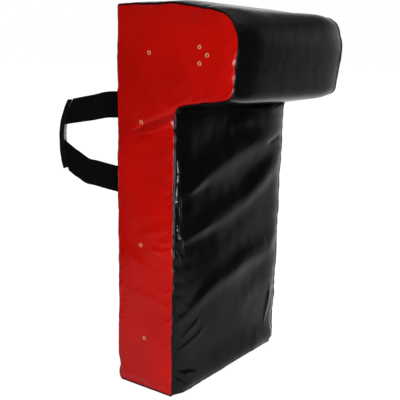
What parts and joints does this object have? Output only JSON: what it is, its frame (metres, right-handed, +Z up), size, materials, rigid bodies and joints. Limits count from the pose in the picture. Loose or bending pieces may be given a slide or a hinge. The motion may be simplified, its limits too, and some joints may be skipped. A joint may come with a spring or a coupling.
{
  "type": "tackle shield",
  "caption": "Free-standing foam tackle shield with an overhanging padded nose, a sewn vinyl cover closed by a low zip, and webbing hand loops standing out from its back.",
  "frame": {"origin": "middle of the pad's flat base, on the surface that it stands on", "axes": "+Z up the pad, -Y out of the strike face, +Y towards the person who holds it, +X to that person's right as they face the strike side"},
  "size_m": [0.404, 0.4442, 0.757],
  "materials": {
    "red_vinyl": "glossy coated sheet, lightly wrinkled",
    "black_vinyl": "glossy coated sheet with soft wrinkles",
    "black_webbing": "matt woven webbing",
    "black_piping": "satin welt",
    "grey_core": "matt felt strip",
    "cream_foam": "matt open-cell foam",
    "blue_grey_foam": "matt open-cell foam",
    "brass": "dull brass",
    "zinc": "dark nickel on zinc",
    "black_nylon": "woven tape and moulded teeth"
  },
  "bodies": {
    "pad": {"strike_face_panel": "black_vinyl", "nose_panel": "black_vinyl", "base_panel": "black_vinyl", "back_panel": "black_vinyl", "side_panel_left": "red_vinyl", "side_panel_right": "red_vinyl", "piping_left": "black_piping", "piping_right": "black_piping", "foam_rear_slab": "blue_grey_foam", "foam_front_slab": "cream_foam", "foam_nose_block": "cream_foam", "zip_tape_upper": "black_nylon", "zip_tape_lower": "black_nylon", "zip_stop_left": "zinc", "zip_stop_right": "zinc", "eyelet_left_1": "brass", "eyelet_washer_left_1": "brass", "eyelet_left_2": "brass", "eyelet_washer_left_2": "brass", "eyelet_left_3": "brass", "eyelet_washer_left_3": "brass", "eyelet_left_4": "brass", "eyelet_washer_left_4": "brass", "eyelet_left_5": "brass", "eyelet_washer_left_5": "brass", "eyelet_left_6": "brass", "eyelet_washer_left_6": "brass", "eyelet_left_7": "brass", "eyelet_washer_left_7": "brass", "left_anchor_patch": "black_vinyl", "left_upper_tail": "black_webbing", "left_lower_tail": "black_webbing", "eyelet_right_1": "brass", "eyelet_washer_right_1": "brass", "eyelet_right_2": "brass", "eyelet_washer_right_2": "brass", "eyelet_right_3": "brass", "eyelet_washer_right_3": "brass", "eyelet_right_4": "brass", "eyelet_washer_right_4": "brass", "eyelet_right_5": "brass", "eyelet_washer_right_5": "brass", "eyelet_right_6": "brass", "eyelet_washer_right_6": "brass", "eyelet_right_7": "brass", "eyelet_washer_right_7": "brass", "right_anchor_patch": "black_vinyl", "right_upper_tail": "black_webbing", "right_lower_tail": "black_webbing"},
    "left_handle": {"left_upper_band": "black_webbing", "left_lower_band": "black_webbing", "left_hand_grip": "black_webbing", "left_grip_core": "grey_core"},
    "right_handle": {"right_upper_band": "black_webbing", "right_lower_band": "black_webbing", "right_hand_grip": "black_webbing", "right_grip_core": "grey_core"},
    "zip_slider": {"zip_slider": "zinc"},
    "zip_pull": {"zip_pull_tab": "zinc"}
  },
  "joints": [
    {"name": "left_handle_hinge", "type": "hinge", "parent": "pad", "child": "left_handle", "pos_m": [-0.15, 0.0774, 0.48], "axis": [0, 0, 1], "range_deg": [-75, 64]},
    {"name": "right_handle_hinge", "type": "hinge", "parent": "pad", "child": "right_handle", "pos_m": [0.15, 0.0774, 0.48], "axis": [0, 0, -1], "range_deg": [-75, 64]},
    {"name": "zip_slide", "type": "slide", "parent": "pad", "child": "zip_slider", "axis": [-1, 0, 0], "range_m": [0, 0.3]},
    {"name": "zip_pull_hinge", "type": "hinge", "parent": "zip_slider", "child": "zip_pull", "pos_m": [0.151, 0.07525, 0.035], "axis": [0, 0, -1], "range_deg": [0, 170]}
  ]
}
